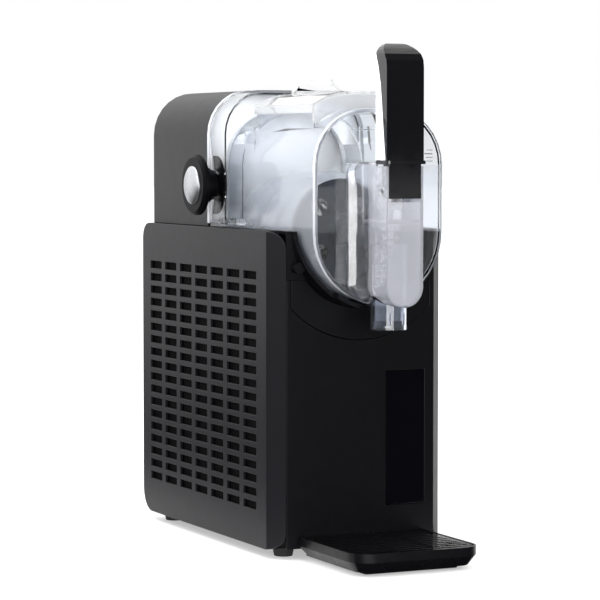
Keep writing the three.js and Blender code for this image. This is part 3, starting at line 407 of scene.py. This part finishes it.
VESSEL_FACE = -36.5  # the outside of the vessel's front wall
MARK_RIGHT = 54.0


def level_mark(name, left, height, thickness):
    """A printed bar on the outside of the vessel's front wall, with rounded ends."""
    half = thickness / 2
    outline = []
    for centre_x, first in ((MARK_RIGHT - half, -90), (left + half, 90)):
        for step in range(7):
            angle = math.radians(first + step * 30)
            outline.append((centre_x + half * math.cos(angle), height + half * math.sin(angle)))
    rings = [[at(x, VESSEL_FACE + depth, z) for x, z in outline] for depth in (-0.12, 0.1)]
    closed_mesh(name, rings, MARK, "vessel_unit")


# left end, height and thickness of each bar
MARKS = [(45.5, 370.3, 1.0), (47.5, 373.6, 0.7), (47.5, 367.0, 0.7), (47.5, 363.7, 0.7)]
for number, bar in enumerate(MARKS):
    level_mark(f"level_mark_{number + 1}", *bar)


SPRING_TURNS = 4.5
SPRING_WIRE = 0.9 * MM
SPRING_STEPS = 24  # rings for each turn
WIRE_SIDES = 8


def coil_spring():
    """The plunger's return spring, a fixed coil in the place of the plunger_spring part."""
    low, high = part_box("plunger_spring")
    middle_x, middle_y = (low[0] + high[0]) / 2, (low[1] + high[1]) / 2
    radius = (high[0] - low[0]) / 2 - SPRING_WIRE
    bottom, top = low[2] + SPRING_WIRE, high[2] - SPRING_WIRE
    steps = int(SPRING_TURNS * SPRING_STEPS)
    rings = []
    for i in range(steps + 1):
        turn = SPRING_TURNS * math.tau * i / steps
        out = Vector((math.cos(turn), math.sin(turn), 0))
        middle = Vector((middle_x, middle_y, bottom + (top - bottom) * i / steps)) + out * radius
        rings.append([middle + SPRING_WIRE * (out * math.cos(a) + Vector((0, 0, math.sin(a))))
                      for a in (math.tau * k / WIRE_SIDES for k in range(WIRE_SIDES))])
    spring = closed_mesh("coil_spring", rings, STEEL, "vessel_unit")
    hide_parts("plunger_spring")
    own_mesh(spring)


# place of the near-black sheets behind the grilles (painted shade), in drawing mm
SHEET_OUTER = 84.6
SHEET_INNER = 83.2
SHEET_FRONT = 20.0
SHEET_HEIGHTS = (42.0, 270.0)
PLEAT_COUNT = 93
PLEAT_WIDTH = 3.0
PLEAT_DEPTH = 0.8


def pleated_shade_sheet(name, side):
    """A thin pleated near-black sheet close behind one side's grille: painted shade, standing for the dark
    inside of the housing.
    """
    outline = []
    for i in range(PLEAT_COUNT + 1):
        crest = SHEET_OUTER if i % 2 else SHEET_OUTER - PLEAT_DEPTH
        outline.append((crest, SHEET_FRONT + i * PLEAT_WIDTH))
    outline += [(SHEET_INNER, SHEET_FRONT + PLEAT_COUNT * PLEAT_WIDTH), (SHEET_INNER, SHEET_FRONT)]
    rings = [[at(side * x, y, z) for x, y in outline] for z in SHEET_HEIGHTS]
    closed_mesh(name, rings, SHADE_SHEET_BLACK, "housing")


coil_spring()
# painted shade: a near-black sheet behind each grille
pleated_shade_sheet("shade_sheet_left", -1)
pleated_shade_sheet("shade_sheet_right", 1)

# ------------------------------------------------------------------ studio


def stage_plane(name, place, facing, width, height, emission=0.0, colour=(0, 0, 0), shown=True):
    """A flat sheet that isn't part of the object: the floor, or a studio card."""
    mesh = bpy.data.meshes.new(name)
    w, h = width / 2, height / 2
    mesh.from_pydata([(-w, -h, 0), (w, -h, 0), (w, h, 0), (-w, h, 0)], [], [(0, 1, 2, 3)])
    plane = bpy.data.objects.new(name, mesh)
    SCENE.collection.objects.link(plane)
    plane.location = place
    plane.rotation_euler = (Vector(facing) - Vector(place)).to_track_quat("Z", "Y").to_euler()
    g = Graph(name)
    g.tint(g.noise(3, 2), colour, colour)
    g.set(Roughness=0.9)
    g.set(Emission_Color=(1, 1, 1, 1), Emission_Strength=emission)
    mesh.materials.append(g.material)
    plane.visible_camera = shown
    return plane


def area_light(name, place, size, power):
    """A square lamp that faces the machine's middle."""
    data = bpy.data.lights.new(name, "AREA")
    data.shape = "RECTANGLE"
    data.size = size
    data.size_y = size
    data.energy = power
    light = bpy.data.objects.new(name, data)
    SCENE.collection.objects.link(light)
    light.location = place
    light.rotation_euler = (MIDDLE - Vector(place)).to_track_quat("-Z", "Y").to_euler()


MIDDLE = Vector((0, 0, 0.25))
stage_plane("floor", (0, 0, -0.0002), (0, 0, 1), 40, 40, emission=0.42, colour=(0.5, 0.5, 0.5))


def studio_world():
    """White to the camera; the object sees a bright back, a dim ceiling and a dark front right."""
    world = bpy.data.worlds.new("studio")
    SCENE.world = world
    world.use_nodes = True
    tree = world.node_tree
    output = tree.nodes["World Output"]
    seen = tree.nodes["Background"]
    seen.inputs["Color"].default_value = (1, 1, 1, 1)
    around = tree.nodes.new("ShaderNodeBackground")
    direction = tree.nodes.new("ShaderNodeTexCoord").outputs["Generated"]

    def lobe(towards, start, end, low, high):
        """low away from a direction and high towards it, by the cosine to it."""
        dot = tree.nodes.new("ShaderNodeVectorMath")
        dot.operation = "DOT_PRODUCT"
        dot.inputs[1].default_value = Vector(towards).normalized()
        tree.links.new(direction, dot.inputs[0])
        return smooth_ramp(tree, dot.outputs["Value"], start, end, low, high)

    def combine(operation, first, second):
        maths = tree.nodes.new("ShaderNodeMath")
        maths.operation = operation
        tree.links.new(first, maths.inputs[0])
        tree.links.new(second, maths.inputs[1])
        return maths.outputs["Value"]

    back = lobe((-0.25, 0.97, 0.0), -0.1, 0.6, 0.45, 1.1)
    ceiling = lobe((0, 0, 1), 0.2, 0.8, 1.8, 2.2)
    dark = lobe((0.55, -0.83, 0.0), -0.2, 0.6, 1.0, 0.06)
    total = combine("MULTIPLY", combine("MULTIPLY", back, ceiling), dark)
    path = tree.nodes.new("ShaderNodeLightPath")

    def where(depth, value, otherwise):
        """value for a ray that has been transmitted or scattered at least once, otherwise the rest."""
        passed = tree.nodes.new("ShaderNodeMath")
        passed.operation = "GREATER_THAN"
        passed.inputs[1].default_value = 0.5
        tree.links.new(path.outputs[depth], passed.inputs[0])
        chosen = tree.nodes.new("ShaderNodeMix")
        chosen.inputs["B"].default_value = value
        tree.links.new(passed.outputs["Value"], chosen.inputs["Factor"])
        tree.links.new(otherwise, chosen.inputs["A"])
        return chosen.outputs["Result"]

    total = where("Diffuse Depth", 2.9, where("Transmission Depth", 1.1, total))
    tree.links.new(total, around.inputs["Strength"])
    mix = tree.nodes.new("ShaderNodeMixShader")
    tree.links.new(path.outputs["Is Camera Ray"], mix.inputs["Fac"])
    tree.links.new(around.outputs["Background"], mix.inputs[1])
    tree.links.new(seen.outputs["Background"], mix.inputs[2])
    tree.links.new(mix.outputs["Shader"], output.inputs["Surface"])


def glossy_card(name, place, width, height, emission):
    """A softbox that only reflections see."""
    card = stage_plane(name, place, (MIDDLE.x, MIDDLE.y, place[2]), width, height, emission, shown=False)
    card.visible_diffuse = False
    card.visible_transmission = False
    card.visible_shadow = False


def dark_card(name, place, facing, width, height, shade=False):
    """A black flag that reflections see, and that can also shade the lamps."""
    card = stage_plane(name, place, facing, width, height, shown=False)
    card.visible_diffuse = False
    card.visible_transmission = False
    card.visible_shadow = shade


studio_world()
glossy_card("front_box", (-0.66, -1.72, 0.3), 1.9, 0.5, 10.0)
glossy_card("rear_left_box", (-1.35, 2.9, 0.45), 1.6, 0.7, 1.5)
dark_card("side_flag", (-0.6, -0.1, 0.15), (0, -0.1, 0.15), 1.4, 0.30, shade=True)
dark_card("low_flag", (-0.6, 1.6, 0.07), (0, 1.6, 0.07), 2.0, 0.14, shade=True)
dark_card("back_flag", (1.1, 2.5, 0.80), (0, 0, 0.6), 2.0, 0.7, shade=True)
dark_card("floor_flag", (-0.62, 0.55, 0.001), (-0.62, 0.55, 1.0), 0.9, 1.5)
dark_card("front_flag", (2.6, -4.2, 0.001), (2.6, -4.2, 1.0), 6.0, 8.0)
area_light("top_box", (-0.6, 0.4, 1.9), 1.4, 18)
area_light("left_box", (-2.0, 0.2, 0.9), 1.0, 6)
